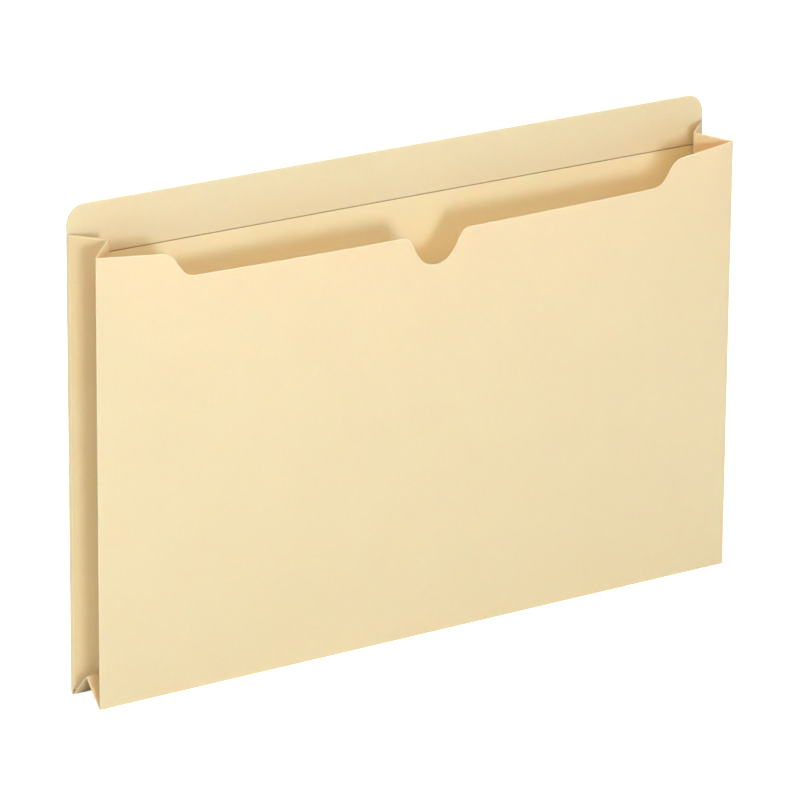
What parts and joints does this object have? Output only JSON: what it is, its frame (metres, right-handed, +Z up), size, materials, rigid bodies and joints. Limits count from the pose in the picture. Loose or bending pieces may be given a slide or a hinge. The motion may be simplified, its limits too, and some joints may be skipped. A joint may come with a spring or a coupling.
{
  "type": "expanding file jacket",
  "caption": "Manila file jacket with a tall tabbed back, a low front with a thumb notch, and side and bottom gussets that fold.",
  "frame": {"origin": "bottom centre of the jacket's box as it stands half open", "axes": "+X along the jacket's width, to the right seen from the front; +Y from the front panel to the back panel; +Z up"},
  "size_m": [0.3746, 0.0342, 0.2413],
  "materials": {
    "outer_board": "matte uncoated manila, faintly mottled",
    "inner_board": "matte uncoated manila, inside face",
    "gusset_board": "matte uncoated manila, scored and folded"
  },
  "bodies": {
    "back": {"back_panel": "outer_board", "tab_ply": "inner_board", "left_glue_flap": "inner_board", "right_glue_flap": "inner_board", "bottom_glue_flap": "inner_board"},
    "left_rear": {"left_gusset_rear": "gusset_board", "left_corner_tab_rear": "inner_board"},
    "left_front": {"left_gusset_front": "gusset_board", "left_corner_tab_front": "inner_board"},
    "front": {"front_panel": "outer_board"},
    "right_rear": {"right_gusset_rear": "gusset_board", "right_corner_tab_rear": "inner_board"},
    "right_front": {"right_gusset_front": "gusset_board", "right_corner_tab_front": "inner_board"},
    "bottom_rear": {"bottom_gusset_rear": "gusset_board"},
    "bottom_front": {"bottom_gusset_front": "gusset_board"}
  },
  "joints": [
    {"name": "left_back_fold", "type": "hinge", "parent": "back", "child": "left_rear", "pos_m": [-0.18702, 0.01655, 0.1146], "axis": [0, 0, -1], "range_deg": [-34.5, 20.5]},
    {"name": "left_centre_fold", "type": "hinge", "parent": "left_rear", "child": "left_front", "pos_m": [-0.1725, 0.00422, 0.1146], "axis": [0, 0, 1], "range_deg": [-69, 41]},
    {"name": "front_fold", "type": "hinge", "parent": "left_front", "child": "front", "pos_m": [-0.18702, -0.00812, 0.1146], "axis": [0, 0, -1], "range_deg": [-34.5, 20.5]},
    {"name": "right_back_fold", "type": "hinge", "parent": "back", "child": "right_rear", "pos_m": [0.18702, 0.01655, 0.1146], "axis": [0, 0, 1], "range_deg": [-34.5, 20.5]},
    {"name": "right_centre_fold", "type": "hinge", "parent": "right_rear", "child": "right_front", "pos_m": [0.1725, 0.00422, 0.1146], "axis": [0, 0, -1], "range_deg": [-69, 41]},
    {"name": "bottom_back_fold", "type": "hinge", "parent": "back", "child": "bottom_rear", "pos_m": [0, 0.01615, 0.0005], "axis": [1, 0, 0], "range_deg": [-39.67, 23.57]},
    {"name": "bottom_centre_fold", "type": "hinge", "parent": "bottom_rear", "child": "bottom_front", "pos_m": [0, 0.00414, 0.0127], "axis": [-1, 0, 0], "range_deg": [-79.35, 47.15]}
  ],
  "couplings": [
    {"joint": "left_back_fold", "follows": "front_fold", "ratio": 1},
    {"joint": "left_centre_fold", "follows": "front_fold", "ratio": 2},
    {"joint": "right_back_fold", "follows": "front_fold", "ratio": 1},
    {"joint": "right_centre_fold", "follows": "front_fold", "ratio": 2},
    {"joint": "bottom_back_fold", "follows": "front_fold", "ratio": 1.15},
    {"joint": "bottom_centre_fold", "follows": "front_fold", "ratio": 2.3}
  ]
}
